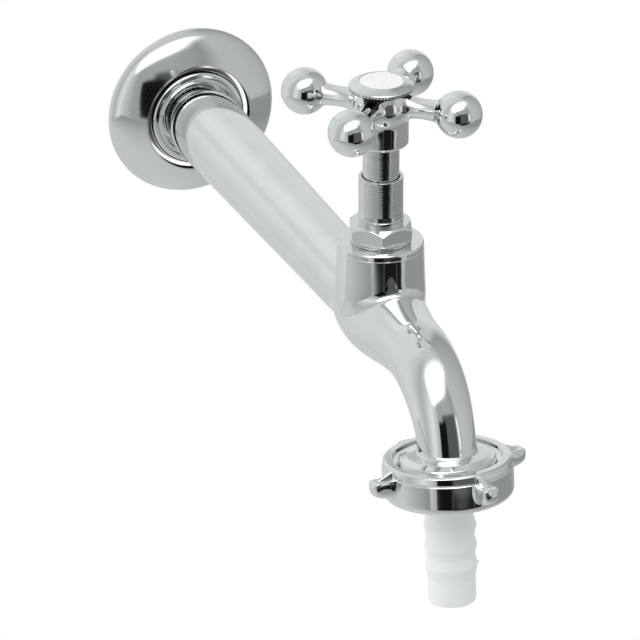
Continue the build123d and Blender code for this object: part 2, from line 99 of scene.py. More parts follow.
def outlet_axis_frame():
    """Frame of the union: local z runs up the outlet axis, local x is world x."""
    y = -REACH - HORN_START - BEND_R * math.sin(BEND_ANGLE)
    z = -BEND_R * (1 - math.cos(BEND_ANGLE))
    upward = Vector((0, math.sin(OUTLET_TILT), math.cos(OUTLET_TILT)))
    side = Vector((1, 0, 0))
    frame_matrix = Matrix((side, upward.cross(side), upward)).transposed().to_4x4()
    frame_matrix.translation = (0, y, z)
    return frame_matrix


INLET = Matrix.Rotation(math.radians(90), 4, "X")          # local z runs out of the wall
VALVE = Matrix.Translation((0, -REACH, 0))                  # local z is the height
OUTLET = outlet_axis_frame()


def linear(hex_colour):
    """An sRGB hex colour as linear RGBA."""
    channels = [int(hex_colour[i:i + 2], 16) / 255 for i in (1, 3, 5)]
    return [c / 12.92 if c <= 0.04045 else ((c + 0.055) / 1.055) ** 2.4 for c in channels] + [1]


def add_node(tree, kind, inputs=None, **settings):
    """Adds a node with its settings; inputs holds a value or another node's socket for each input."""
    new = tree.nodes.new(kind)
    for name, value in settings.items():
        setattr(new, name, value)
    for socket, value in (inputs or {}).items():
        if isinstance(value, bpy.types.NodeSocket):
            tree.links.new(value, new.inputs[socket])
        else:
            new.inputs[socket].default_value = value
    return new


def add_material(name):
    """A new material with its output node, and the piece's own coordinates."""
    material = bpy.data.materials.new(name)
    material.use_nodes = True
    tree = material.node_tree
    tree.nodes.clear()
    output = add_node(tree, "ShaderNodeOutputMaterial")
    place = add_node(tree, "ShaderNodeTexCoord").outputs["Object"]
    return material, tree, output, place


def spread_ramp(tree, factor, low, high, start=0.3, end=0.7):
    """A ramp from low to high, grey levels or hex colours, over part of a pattern's range."""
    ramp = add_node(tree, "ShaderNodeValToRGB", {"Fac": factor})
    for element, position, level in zip(ramp.color_ramp.elements, (start, end), (low, high)):
        element.position = position
        element.color = linear(level) if isinstance(level, str) else (level, level, level, 1)
    return ramp.outputs["Color"]


def chrome(name, tint, haze, wave_mm, wave_depth_mm):
    """Bright chromium plate. The plate follows the metal under it, so a polished casting has slow
    waves that bend what it mirrors, and faint polishing haze."""
    material, tree, output, place = add_material(name)
    waves = add_node(tree, "ShaderNodeTexNoise",
                     {"Vector": place, "Scale": 1 / (wave_mm * MM), "Detail": 1.0, "Roughness": 0.4})
    clouding = add_node(tree, "ShaderNodeTexNoise",
                        {"Vector": place, "Scale": 1 / (14 * MM), "Detail": 3.0})
    bump = add_node(tree, "ShaderNodeBump",
                    {"Height": waves.outputs["Fac"], "Distance": wave_depth_mm * MM, "Strength": 1.0})
    shader = add_node(tree, "ShaderNodeBsdfPrincipled", {
        "Metallic": 1.0,
        "Base Color": spread_ramp(tree, clouding.outputs["Fac"], *tint),
        "Roughness": spread_ramp(tree, clouding.outputs["Fac"], *haze),
        "Normal": bump.outputs["Normal"],
    })
    tree.links.new(shader.outputs["BSDF"], output.inputs["Surface"])
    return material


def turned_chrome(name, tint, haze, mark_mm, mark_depth_mm):
    """Chromium plate over a lathe-turned shank: fine rings stay under the plate, and they break
    the upright reflections into short dashes."""
    material, tree, output, place = add_material(name)
    flat = add_node(tree, "ShaderNodeMapping",
                    {"Vector": place, "Scale": (40, 40, 1 / (mark_mm * MM))})
    marks = add_node(tree, "ShaderNodeTexNoise",
                     {"Vector": flat.outputs["Vector"], "Scale": 1.0, "Detail": 2.0, "Roughness": 0.7})
    bump = add_node(tree, "ShaderNodeBump",
                    {"Height": marks.outputs["Fac"], "Distance": mark_depth_mm * MM, "Strength": 1.0})
    shader = add_node(tree, "ShaderNodeBsdfPrincipled", {
        "Metallic": 1.0,
        "Base Color": spread_ramp(tree, marks.outputs["Fac"], *tint),
        "Roughness": spread_ramp(tree, marks.outputs["Fac"], *haze),
        "Normal": bump.outputs["Normal"],
    })
    tree.links.new(shader.outputs["BSDF"], output.inputs["Surface"])
    return material


def painted_gap_shade(material, measure, middle_mm, reach_mm):
    """Paints shade into the plate: darkens it to a dark grey in a narrow band, in a gap between parts
    where shade falls. The band lies at a distance from the inlet axis or at a height, as measure says."""
    tree = material.node_tree
    shader = next(n for n in tree.nodes if n.type == "BSDF_PRINCIPLED")
    place = add_node(tree, "ShaderNodeTexCoord").outputs["Object"]
    part = add_node(tree, "ShaderNodeMapping", {"Vector": place, "Scale": measure})
    size = add_node(tree, "ShaderNodeVectorMath", {0: part.outputs["Vector"]}, operation="LENGTH")
    off = add_node(tree, "ShaderNodeMath", {0: size.outputs["Value"], 1: middle_mm * MM},
                   operation="SUBTRACT")
    apart = add_node(tree, "ShaderNodeMath", {0: off.outputs[0]}, operation="ABSOLUTE")
    near = add_node(tree, "ShaderNodeMapRange", {"Value": apart.outputs[0], "From Min": reach_mm * MM,
                                                 "From Max": (reach_mm - 0.1) * MM}, clamp=True)
    plate = shader.inputs["Base Color"].links[0].from_socket
    # Painted shade: inside the band the plate's colour is mixed towards dark grey
    gap_shade = add_node(tree, "ShaderNodeMix", {"Factor": near.outputs["Result"], 6: plate,
                                             7: linear("#3a3c3c")}, data_type="RGBA")
    tree.links.new(gap_shade.outputs[2], shader.inputs["Base Color"])


def mottled(name, colours, roughness, grain_mm, relief_mm, **extra):
    """A plain non-plated finish with a grain in its colour and a slight relief."""
    material, tree, output, place = add_material(name)
    grain = add_node(tree, "ShaderNodeTexNoise",
                     {"Vector": place, "Scale": 1 / (grain_mm * MM), "Detail": 4.0})
    bump = add_node(tree, "ShaderNodeBump",
                    {"Height": grain.outputs["Fac"], "Distance": relief_mm * MM, "Strength": 1.0})
    inputs = {
        "Base Color": spread_ramp(tree, grain.outputs["Fac"], *colours),
        "Roughness": roughness,
        "Normal": bump.outputs["Normal"],
    }
    inputs.update({key.replace("_", " "): value for key, value in extra.items()})
    shader = add_node(tree, "ShaderNodeBsdfPrincipled", inputs)
    tree.links.new(shader.outputs["BSDF"], output.inputs["Surface"])
    return material


# Chrome of the body and handle: a clear mirror, a little hazy, with slow waves
cast_chrome = chrome("chrome_plate_on_cast_brass", ("#e6e9e9", "#edefef"), (0.05, 0.08), 9, 0.03)
# The rosette's thin plate mirrors a little more softly
sheet_chrome = chrome("chrome_plate_on_pressed_sheet", ("#e2e5e5", "#eaecec"), (0.07, 0.1), 12, 0.02)
# The nut, cap and collar are cleaner mirrors with hardly any waves
nut_chrome = chrome("chrome_plate_on_cast_nut", ("#e6e9e9", "#edefef"), (0.05, 0.08), 7, 0.02)
cap_chrome = chrome("chrome_plate_on_moulded_cap", ("#e2e5e5", "#eaecec"), (0.05, 0.09), 6, 0.01)
collar_chrome = chrome("chrome_plate_on_wall_collar", ("#e2e5e5", "#eaecec"), (0.05, 0.09), 6, 0.01)
FROM_INLET_AXIS = (1, 0, 1)
HEIGHT = (0, 0, 1)
# Painted shade in the gap between the rosette's lip and the wall collar, and under the cap's milled band
painted_gap_shade(sheet_chrome, FROM_INLET_AXIS, SEAM_R, 0.78)
painted_gap_shade(collar_chrome, FROM_INLET_AXIS, SEAM_R, 0.78)
painted_gap_shade(cap_chrome, HEIGHT, CAP_GAP, 0.65)
# Slightly greyer than the polished parts, with the dashed look of lathe marks
shank_chrome = turned_chrome("chrome_plate_on_turned_brass", ("#d4d7d7", "#e6e8e8"),
                             (0.04, 0.09), 0.42, 0.014)
# Inside: yellow brass, dull grey steel, black rubber and red-brown fibre, seen only when taken apart
bare_brass = mottled("turned_brass", ("#c79d4f", "#d8b163"), 0.28, 0.8, 0.01, Metallic=1.0)
bright_steel = mottled("stainless_steel", ("#a9aaab", "#bfc0c0"), 0.3, 0.6, 0.01, Metallic=1.0)
nitrile = mottled("nitrile_rubber", ("#161616", "#1f1f1f"), 0.55, 0.5, 0.02)
red_fibre = mottled("vulcanised_fibre", ("#6e2a1c", "#823526"), 0.7, 0.4, 0.03)
# The disc: even, bright white without a mirror, with a faint painted glow that makes it brighter than its
# light alone would
enamel_disc = mottled("gloss_white_enamel", ("#f9fafa", "#fcfdfd"), 0.3, 4.0, 0.0005,
                      Emission_Color=(1, 1, 1, 1), Emission_Strength=0.07)
# The hose tail: milky and soft, as light goes a little way in, and with a painted glow that whitens it
polythene = mottled("natural_polyethylene", ("#f6f9f9", "#fafcfc"), 0.4, 5.0, 0.03,
                    Subsurface_Weight=0.25, Subsurface_Scale=2 * MM, Subsurface_Radius=(1, 1, 1),
                    IOR=1.51, Emission_Color=(0.95, 1, 0.98, 1), Emission_Strength=0.18)


def add_piece(name, points, faces, body, material, nodes=(), normals=None):
    """Makes a smooth-shaded piece from points in millimetres, rides it and hides the parts it replaces.
    """
    mesh = bpy.data.meshes.new(name)
    mesh.from_pydata((np.asarray(points) * MM).tolist(), [], faces)
    mesh.materials.append(material)
    mesh.shade_smooth()
    if normals is not None:
        mesh.normals_split_custom_set_from_vertices(np.asarray(normals).tolist())
    piece = bpy.data.objects.new(name, mesh)
    bpy.context.scene.collection.objects.link(piece)
    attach(piece, body)
    if nodes:
        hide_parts(*nodes)
    return piece


def rounded(corners, closed=False, steps=6):
    """Outline through corners (radius, height, rounding), counter-clockwise, with an arc at each
    corner. Gives the outline's points and their outward normals."""
    points, normals = [], []
    count = len(corners)
    for i, (r, h, rounding) in enumerate(corners):
        here = np.array((r, h), float)
        before = np.array(corners[i - 1][:2], float)
        after = np.array(corners[(i + 1) % count][:2], float)
        way_in, way_out = here - before, after - here
        if not closed and i == 0:
            way_in = way_out
        if not closed and i == count - 1:
            way_out = way_in
        way_in = way_in / np.linalg.norm(way_in)
        way_out = way_out / np.linalg.norm(way_out)
        turn = math.atan2(way_in[0] * way_out[1] - way_in[1] * way_out[0], way_in @ way_out)
        reach = rounding * abs(math.tan(turn / 2))
        room = 0.49 * min(np.linalg.norm(here - before), np.linalg.norm(after - here))
        reach = min(reach, room) if abs(turn) > 1e-6 else 0.0
        bends = max(2, int(steps * abs(turn) / 0.8)) if reach > 0 else 1
        start = here - way_in * reach
        radius = reach / abs(math.tan(turn / 2)) if reach > 0 else 0.0
        left = 1 if turn > 0 else -1
        centre = start + left * radius * np.array((-way_in[1], way_in[0]))
        for k in range(bends):
            share = k / (bends - 1) if bends > 1 else 0.5
            angle = math.atan2(way_in[1], way_in[0]) + turn * share
            normal = np.array((math.sin(angle), -math.cos(angle)))
            points.append(centre + left * radius * normal if reach > 0 else here)
            normals.append(normal)
    return np.array(points), np.array(normals)


def divided(points, normals, longest, low=-1e9, high=1e9):
    """The same outline with extra points along straight stretches between two heights."""
    new_points, new_normals = [points[0]], [normals[0]]
    for a, b, n in zip(points[:-1], points[1:], normals[1:]):
        middle = (a[1] + b[1]) / 2
        parts = max(1, int(np.linalg.norm(b - a) / longest)) if low < middle < high else 1
        for k in range(1, parts + 1):
            new_points.append(a + (b - a) * k / parts)
            new_normals.append(n)
    return np.array(new_points), np.array(new_normals)


def turned(name, outline, place, body, material, nodes=(), segments=144, closed=True, cut=None):
    """Turns an outline about the local z of a place. cut(angle, radius, height) gives how much
    deeper the surface lies there, for threads, flats and milling."""
    points, normals = outline
    angles = np.arange(segments) * 2 * math.pi / segments
    radius = np.repeat(points[:, :1], segments, axis=1)
    height = np.repeat(points[:, 1:], segments, axis=1)
    turn = np.repeat(angles[None, :], len(points), axis=0)
    n_r = np.repeat(normals[:, :1], segments, axis=1)
    n_h = np.repeat(normals[:, 1:], segments, axis=1)
    n_t = np.zeros_like(n_r)
    if cut is not None:
        small = 1e-3
        by_angle = (cut(turn + small, radius, height) - cut(turn - small, radius, height)) / (2 * small)
        by_height = (cut(turn, radius, height + small) - cut(turn, radius, height - small)) / (2 * small)
        radius = radius - cut(turn, radius, height)
        n_t = n_r * by_angle / np.maximum(radius, 0.1)
        n_h = n_h + n_r * by_height
    cos, sin = np.cos(turn), np.sin(turn)
    local = np.stack((radius * cos, radius * sin, height), -1).reshape(-1, 3)
    facing = np.stack((n_r * cos - n_t * sin, n_r * sin + n_t * cos, n_h), -1).reshape(-1, 3)
    facing /= np.linalg.norm(facing, axis=1, keepdims=True)
    rows = len(points)
    faces = []
    for i in range(rows if closed else rows - 1):
        j = (i + 1) % rows
        for k in range(segments):
            m = (k + 1) % segments
            faces.append((i * segments + k, i * segments + m, j * segments + m, j * segments + k))
    matrix = np.array(place)
    world = local @ matrix[:3, :3].T + matrix[:3, 3]
    world_facing = facing @ matrix[:3, :3].T
    merged, faces, world_facing = merge_poles(world, faces, world_facing, radius.reshape(-1))
    return add_piece(name, merged, faces, body, material, nodes, world_facing)


def merge_poles(points, faces, normals, radius):
    """Joins the points that lie on the axis, so that no face there is empty."""
    keep = np.arange(len(points))
    seen = {}
    for i in np.flatnonzero(radius < 1e-4):
        key = tuple(np.round(points[i], 4))
        keep[i] = seen.setdefault(key, i)
    used, index = np.unique(keep, return_inverse=True)
    new_faces = []
    for face in faces:
        corners = []
        for v in face:
            w = int(index[v])
            if w not in corners:
                corners.append(w)
        if len(corners) > 2:
            new_faces.append(corners)
    return points[used], new_faces, normals[used]


def spline(knots):
    """A natural cubic through (position, value) knots, as a function of an array of positions."""
    x, y = np.array(knots, float).T
    n = len(x)
    step = np.diff(x)
    system, right = np.eye(n), np.zeros(n)
    for i in range(1, n - 1):
        system[i, i - 1:i + 2] = step[i - 1], 2 * (step[i - 1] + step[i]), step[i]
        right[i] = 6 * ((y[i + 1] - y[i]) / step[i] - (y[i] - y[i - 1]) / step[i - 1])
    bend = np.linalg.solve(system, right)

    def value(at):
        at = np.clip(at, x[0], x[-1])
        i = np.clip(np.searchsorted(x, at) - 1, 0, n - 2)
        a, b = x[i + 1] - at, at - x[i]
        return ((bend[i] * a ** 3 + bend[i + 1] * b ** 3) / (6 * step[i])
                + (y[i] / step[i] - bend[i] * step[i] / 6) * a
                + (y[i + 1] / step[i] - bend[i + 1] * step[i] / 6) * b)

    return value


# Radius of the ball that rolls along the body's centre line, by distance past the valve axis
body_radius = spline([
    (-REACH + NECK_FRONT, ARM_WALL_R), (-110, 11.2), (-60, 10.43), (-30, 10.0), (-20, 9.85),
    (-12, 9.97), (-6, 11.3), (0, 12.01), (8, 11.4), (16, 10.2), (26, 9.43), (40, 9.08),
    (52, 8.5), (LINE_LENGTH, 8.2), (LINE_LENGTH + 4, 8.2),
])


def body_line(s):
    """Points (y, z) of the body's centre line at distances s past the valve axis."""
    y = -REACH - np.minimum(s, HORN_START)
    z = np.zeros_like(s)
    angle = np.clip((s - HORN_START) / BEND_R, 0, BEND_ANGLE)
    y = y - BEND_R * np.sin(angle)
    z = z - BEND_R * (1 - np.cos(angle))
    past = np.maximum(s - LINE_LENGTH, 0)
    return y - past * math.sin(OUTLET_TILT), z - past * math.cos(OUTLET_TILT)


def round_union(a, b, fillet):
    """Joins two distance fields with a hollow fillet where they meet."""
    inner = np.hypot(np.maximum(fillet - a, 0), np.maximum(fillet - b, 0))
    return np.maximum(fillet, np.minimum(a, b)) - inner


def rolled_tube(p):
    """Distance to the tube that the rolling ball sweeps along the centre line."""
    def gap(s):
        y, z = body_line(s)
        return np.sqrt(p[:, 0] ** 2 + (p[:, 1] - y) ** 2 + (p[:, 2] - z) ** 2) - body_radius(s)

    stations = np.arange(-REACH + NECK_FRONT - 3, LINE_LENGTH + 4, 1.0)
    line_y, line_z = body_line(stations)
    radii = body_radius(stations)
    nearest = np.empty(len(p))
    for start in range(0, len(p), 20000):
        part = p[start:start + 20000, :, None]
        apart = np.sqrt(part[:, 0] ** 2 + (part[:, 1] - line_y) ** 2 + (part[:, 2] - line_z) ** 2)
        nearest[start:start + 20000] = stations[np.argmin(apart - radii, axis=1)]
    width = 1.0
    for _ in range(5):
        low, mid, high = gap(nearest - width), gap(nearest), gap(nearest + width)
        curve = low - 2 * mid + high
        steep = np.abs(curve) > 1e-12
        shift = np.where(steep, 0.5 * width * (low - high) / np.where(steep, curve, 1), 0)
        nearest = nearest + np.clip(shift, -width, width)
        width *= 0.4
    return gap(nearest)


boss_profile = spline([
    (-3, 10.6), (0, 11.75), (3, 12.5), (6, 12.95), (9, 12.9), (12, 12.76), (15, 12.64),
    (BOSS_LINE, BOSS_R), (30, 12.06),
])


def casting(p):
    """Distance to the outside of the cast body."""
    tube = rolled_tube(p)
    height = p[:, 2]
    boss = np.hypot(p[:, 0], p[:, 1] + REACH) - boss_profile(height)
    boss = np.maximum(boss, -height)
    lean = np.clip((height - 2.0) / 5.0, 0, 1)
    return round_union(tube, boss, 0.3 + (BOSS_FILLET - 0.3) * lean * lean * (3 - 2 * lean))


def slope(field, p, step=0.02):
    """Unit direction in which a distance field grows."""
    grad = np.stack([field(p + step * axis) - field(p - step * axis) for axis in np.eye(3)], -1)
    return grad / np.linalg.norm(grad, axis=1, keepdims=True)


def rough_tube(mesh, points, radii, sides=24):
    """Adds a closed tube through points to a bmesh."""
    radii = [float(radius) for radius in radii]
    rings = []
    for i, (point, radius) in enumerate(zip(points, radii)):
        after, before = points[min(i + 1, len(points) - 1)], points[max(i - 1, 0)]
        ahead = (Vector(after) - Vector(before)).normalized()
        across = Vector((1, 0, 0)) if abs(ahead.x) < 0.9 else Vector((0, 0, 1))
        second = ahead.cross(across).normalized()
        across = second.cross(ahead)
        rings.append([
            mesh.verts.new(Vector(point) + radius * (math.cos(a) * across + math.sin(a) * second))
            for a in (2 * math.pi * k / sides for k in range(sides))
        ])
    for lower, upper in zip(rings[:-1], rings[1:]):
        for k in range(sides):
            m = (k + 1) % sides
            mesh.faces.new((lower[k], lower[m], upper[m], upper[k]))
    mesh.faces.new(rings[0][::-1])
    mesh.faces.new(rings[-1])


def skin(rough, field, cell):
    """A fine even skin over a rough bmesh, drawn onto the surface where the field is nought."""
    bmesh.ops.recalc_face_normals(rough, faces=rough.faces)
    mesh = bpy.data.meshes.new("rough")
    rough.to_mesh(mesh)
    rough.free()
    carrier = bpy.data.objects.new("rough", mesh)
    bpy.context.scene.collection.objects.link(carrier)
    remesh = carrier.modifiers.new("even", "REMESH")
    remesh.mode = "VOXEL"
    remesh.voxel_size = cell
    evaluated = carrier.evaluated_get(bpy.context.evaluated_depsgraph_get())
    even = bpy.data.meshes.new_from_object(evaluated)
    bpy.data.objects.remove(carrier)
    fine = bmesh.new()
    fine.from_mesh(even)
    bpy.data.meshes.remove(mesh)
    bpy.data.meshes.remove(even)
    return draw_on(fine, field, 4)


def draw_on(fine, field, rounds):
    """Moves every point of a bmesh onto the field's surface."""
    p = np.array([v.co for v in fine.verts], float)
    for _ in range(rounds):
        p = p - field(p)[:, None] * slope(field, p)
    for v, co in zip(fine.verts, p):
        v.co = co
    return fine


def trim(fine, place, height, reach):
    """Cuts a bmesh at a height of a place and removes what lies beyond, out to a reach."""
    back = place.inverted()
    across = place @ Vector((0, 0, height))
    axis = (place.to_3x3() @ Vector((0, 0, 1))).normalized()
    near = {v for v in fine.verts if (back @ v.co).xy.length < reach}
    geometry = list(near)
    geometry += [edge for edge in fine.edges if near.issuperset(edge.verts)]
    geometry += [face for face in fine.faces if near.issuperset(face.verts)]
    bmesh.ops.bisect_plane(fine, geom=geometry, dist=1e-4, plane_co=across, plane_no=axis,
                           clear_outer=True)


def edge_loop(fine, place, height, reach):
    """The open edge at a height of a place, in order of angle, with its angles."""
    back = place.inverted()
    found = []
    for v in fine.verts:
        local = back @ v.co
        if v.is_boundary and abs(local.z - height) < 0.02 and local.xy.length < reach:
            found.append((math.atan2(local.y, local.x), v))
    found.sort(key=lambda pair: pair[0])
    return [v for _, v in found], np.array([angle for angle, _ in found])


def finish_end(fine, place, height, reach, outline, exact, ease=0):
    """Carries an open edge on along an outline of rings about a place and closes it on the axis.
    The first rings may ease from the edge's own shape to the round one."""
    points, normals = outline
    if points[1][1] < points[0][1]:
        normals = -normals
    loop, angles = edge_loop(fine, place, height, reach)
    matrix = np.array(place)
    start = np.array([v.co for v in loop])
    cos, sin = np.cos(angles), np.sin(angles)

    def ring_at(r, h):
        local = np.stack((r * cos, r * sin, np.full_like(cos, h)), -1)
        return local @ matrix[:3, :3].T + matrix[:3, 3]

    offset = start - ring_at(*points[0])
    last = loop
    for i, ((r, h), (n_r, n_h)) in enumerate(zip(points[1:], normals[1:]), 1):
        share = max(0.0, 1 - i / ease) if ease else 0.0
        share = share * share * (3 - 2 * share)
        if r < 1e-4:
            tip = fine.verts.new(ring_at(0, h)[0])
            exact[tip] = matrix[:3, :3] @ np.array((0, 0, n_h))
            for k in range(len(last)):
                fine.faces.new((last[k], last[(k + 1) % len(last)], tip))
            return
        ring = [fine.verts.new(co) for co in ring_at(r, h) + offset * share]
        facing = np.stack((n_r * cos, n_r * sin, np.full_like(cos, n_h)), -1) @ matrix[:3, :3].T
        if share == 0:
            exact.update(zip(ring, facing))
        for k in range(len(last)):
            m = (k + 1) % len(last)
            fine.faces.new((last[k], last[m], ring[m], ring[k]))
        last = ring


def skinned_piece(name, fine, field, exact, body, material, nodes):
    """Turns a skin with its finished ends into a piece with true normals."""
    bmesh.ops.recalc_face_normals(fine, faces=fine.faces)
    fine.verts.index_update()
    fine.normal_update()
    normals = np.array([v.normal for v in fine.verts])
    on_skin = np.array([v.index for v in fine.verts if v not in exact and v.tag])
    points = np.array([v.co for v in fine.verts])
    normals[on_skin] = slope(field, points[on_skin])
    for v, facing in exact.items():
        normals[v.index] = facing
    faces = [[v.index for v in face.verts] for face in fine.faces]
    fine.free()
    return add_piece(name, points, faces, body, material, nodes, normals)


def make_body():
    """The cast body: arm, valve chamber, boss and spout as one polished skin."""
    rough = bmesh.new()
    stations = np.linspace(-REACH + NECK_FRONT - 2, LINE_LENGTH + 2, 100)
    ys, zs = body_line(stations)
    rough_tube(rough, [(0, y, z) for y, z in zip(ys, zs)], body_radius(stations))
    heights = np.linspace(0, BOSS_TOP + 2, 12)
    rough_tube(rough, [(0, -REACH, h) for h in heights], [BOSS_R] * len(heights))
    fine = skin(rough, casting, 0.75)
    boss_cut, neck_cut, spout_cut = 15.0, NECK_FRONT + 1.5, 3.2
    near = 16.0
    trim(fine, VALVE, boss_cut, near)
    trim(fine, INLET @ Matrix.Rotation(math.pi, 4, "X"), -neck_cut, near)
    trim(fine, OUTLET @ Matrix.Rotation(math.pi, 4, "X"), -spout_cut, near)
    draw_on(fine, casting, 1)
    for v in fine.verts:
        v.tag = True
    exact = {}
    boss_end = rounded([
        (boss_profile(boss_cut), boss_cut, 0), (BOSS_R, BOSS_LINE - 0.15, 0.05),
        (BOSS_R - 0.08, BOSS_LINE, 0.05), (BOSS_R - 0.02, BOSS_LINE + 0.15, 0.05),
        (BOSS_R - 0.1, BOSS_TOP - 0.35, 0.9), (BOSS_R - 0.4, BOSS_TOP, 0.06), (7.8, BOSS_TOP, 0.1),
        (7.75, 12.5, 0.2), (7.4, 12.0, 0.2), (7.4, 0.9, 0.3), (0, 0.9, 0),
    ])
    finish_end(fine, VALVE, boss_cut, near, boss_end, exact)
    neck_end = rounded([
        (ARM_WALL_R - 0.02, neck_cut, 0), (ARM_WALL_R, NECK_FRONT - 0.4, 1.0), (10.5, 12.2, 0.5),
        (10.5, 7.4, 0.2), (10.0, 6.6, 0.2), (10.0, 3.0, 0.3), (8.0, 3.0, 0.3), (7.4, 70, 0.5),
        (0, 73, 0),
    ])
    finish_end(fine, INLET, neck_cut, near, neck_end, exact)
    spout_end = rounded([
        (8.2, spout_cut, 0), (8.35, 1.6, 1.6), (11.4, 0.9, 3.0), (13.45, 0.0, 0.5),
        (13.7, -0.45, 0.2), (13.7, -1.5, 0.15), (13.2, -1.7, 0.15), (13.2, -5.2, 0.5),
        (6.4, -5.2, 0.2), (6.4, 1.5, 0.2), (0, 2.5, 0),
    ])
    finish_end(fine, OUTLET, spout_cut, near, spout_end, exact, ease=6)
    skinned_piece("tap_body_casting", fine, casting, exact, "tap", cast_chrome,
                  ["tap_body"])


hub_radius = spline([
    (HUB_FOOT - 2, HUB_R), (56, HUB_R), (58, HUB_R), (59.6, HUB_R), (60.5, 7.88), (61.5, 8.17),
    (62.8, 8.58), (64.2, 8.75), (66.2, 8.5), (67.6, 8.0), (68.8, 7.4), (71, 6.2),
])
arm_radius = spline([
    (0, 4.6), (HUB_R - 1, 3.9), (HUB_R + 1.5, 3.25), (HUB_R + 4.6, 2.9), (BALL_CIRCLE - BALL_R + 1, 3.3),
    (BALL_CIRCLE, 4.2),
])


def handle_casting(p):
    """Distance to the outside of the cross handle: hub, four arms and their balls."""
    x, y, z = p[:, 0], p[:, 1] + REACH, p[:, 2]
    whole = np.hypot(x, y) - hub_radius(z)
    for quarter in range(4):
        angle = HANDLE_TURN + quarter * QUARTER_TURN
        along = x * math.cos(angle) + y * math.sin(angle)
        aside = -x * math.sin(angle) + y * math.cos(angle)
        off_axis = np.hypot(aside, z - ARM_LEVEL)
        rod = off_axis - arm_radius(along)
        rod = np.maximum(rod, np.maximum(-along, along - BALL_CIRCLE))
        ball = np.hypot(off_axis, along - BALL_CIRCLE) - BALL_R
        whole = round_union(whole, round_union(rod, ball, 0.7), 1.1)
    return whole


def make_handle():
    """The cross handle as one polished skin with a turned foot and top."""
    rough = bmesh.new()
    heights = np.linspace(HUB_FOOT - 1, HUB_TOP + 1, 10)
    rough_tube(rough, [(0, -REACH, h) for h in heights], [HUB_R] * len(heights))
    for quarter in range(4):
        angle = HANDLE_TURN + quarter * QUARTER_TURN
        way = np.array((math.cos(angle), math.sin(angle), 0))
        centre = np.array((0, -REACH, ARM_LEVEL))
        stations = np.linspace(0, BALL_CIRCLE, 14)
        rough_tube(rough, [centre + way * s for s in stations], arm_radius(stations))
        ball = bmesh.ops.create_icosphere(rough, subdivisions=3, radius=BALL_R)
        bmesh.ops.translate(rough, verts=ball["verts"], vec=Vector(centre + way * BALL_CIRCLE))
    fine = skin(rough, handle_casting, 0.5)
    top_cut, foot_cut = HUB_TOP - 0.35, HUB_FOOT + 2.2
    near = 12.0
    trim(fine, VALVE, top_cut, near)
    trim(fine, VALVE @ Matrix.Rotation(math.pi, 4, "X"), -foot_cut, near)
    draw_on(fine, handle_casting, 1)
    for v in fine.verts:
        v.tag = True
    exact = {}
    top_end = rounded([
        (7.48, top_cut, 0), (7.25, HUB_TOP, 0.15), (6.55, HUB_TOP, 0.2), (6.55, 66.0, 0.2),
        (2.25, 66.0, 0.1), (2.25, SPINDLE_TOP, 0.1), (0, SPINDLE_TOP, 0),
    ])
    finish_end(fine, VALVE, top_cut, near, top_end, exact, ease=2)
    foot_end = rounded([
        (HUB_R, foot_cut, 0), (HUB_R, HUB_FOOT, 1.7), (5.34, HUB_FOOT, 0.2),
        (5.34, SPINDLE_SHOULDER, 0.2), (0, SPINDLE_SHOULDER, 0),
    ])
    finish_end(fine, VALVE, foot_cut, near, foot_end, exact)
    skinned_piece("handle_cross_casting", fine, handle_casting, exact, "handle",
                  cast_chrome, ["handle_cross"])


THREAD_PITCH = 1.814


def pipe_thread(depth, low, high):
    """A helical pipe thread, cut to a depth between two heights and run out at its ends."""
    def cut(angle, radius, height):
        phase = (height / THREAD_PITCH - angle / (2 * math.pi)) % 1.0
        groove = 0.5 - 0.5 * np.cos(2 * math.pi * phase)
        ends = np.clip((height - low) / 1.2, 0, 1) * np.clip((high - height) / 1.2, 0, 1)
        return depth * groove * ends * (radius > 9.9)

    return cut


def make_inlet():
    """The adapter at the wall: bright collar with an open mouth, and its thread behind the wall."""
    outline = rounded([
        (15.9, 0, 0.15), (15.9, 4.2, 1.3), (15.4, 6.2, 1.2), (14.75, 7.6, 2.0), (13.0, 8.0, 3.0),
        (11.8, 7.7, 0.4), (11.8, 5.0, 0.2), (10.1, 5.0, 0.2), (10.1, 1.2, 0.1), (7.5, 1.2, 0.3),
        (7.5, -16.0, 0.3), (9.7, -16.0, 0.1), (10.48, -15.2, 0.1), (10.48, 0, 0.1),
    ], closed=True)
    outline = divided(*outline, 0.15, -15.6, -0.5)
    turned("inlet_adapter_turning", outline, INLET, "tap", collar_chrome,
           ["inlet_adapter"], cut=pipe_thread(1.1, -15.4, -1.0))


def smooth_line(knots, count):
    """Corners without roundings along a smooth line through (radius, height) knots."""
    knots = np.array(knots, float)
    along = np.concatenate(([0], np.cumsum(np.hypot(*np.diff(knots, axis=0).T))))
    at = np.linspace(0, along[-1], count)
    radius = spline(np.stack((along, knots[:, 0]), 1))
    height = spline(np.stack((along, knots[:, 1]), 1))
    return [(r, h, 0) for r, h in zip(radius(at), height(at))]


def make_escutcheon():
    """Pressed sheet rosette: a dome that steepens to its rim, and a lip turned in on the collar."""
    outer = smooth_line([(27.0, 0.5), (26.25, 2.1), (24.3, 4.1), (21.0, 6.2), (17.3, 8.0)], 40)
    inner = smooth_line([(17.4, 6.8), (20.8, 5.4), (23.9, 3.3), (26.2, 0.6)], 20)
    outline = rounded([
        (27.0, 0, 0.1), *outer, (16.75, 8.1, 0.12), (16.55, 5.8, 0.1), *inner, (26.2, 0, 0.1),
    ], closed=True, steps=10)
    turned("wall_escutcheon_pressing", outline, INLET, "tap", sheet_chrome,
           ["wall_escutcheon"], segments=200)


HEX_BLANK = 10.0


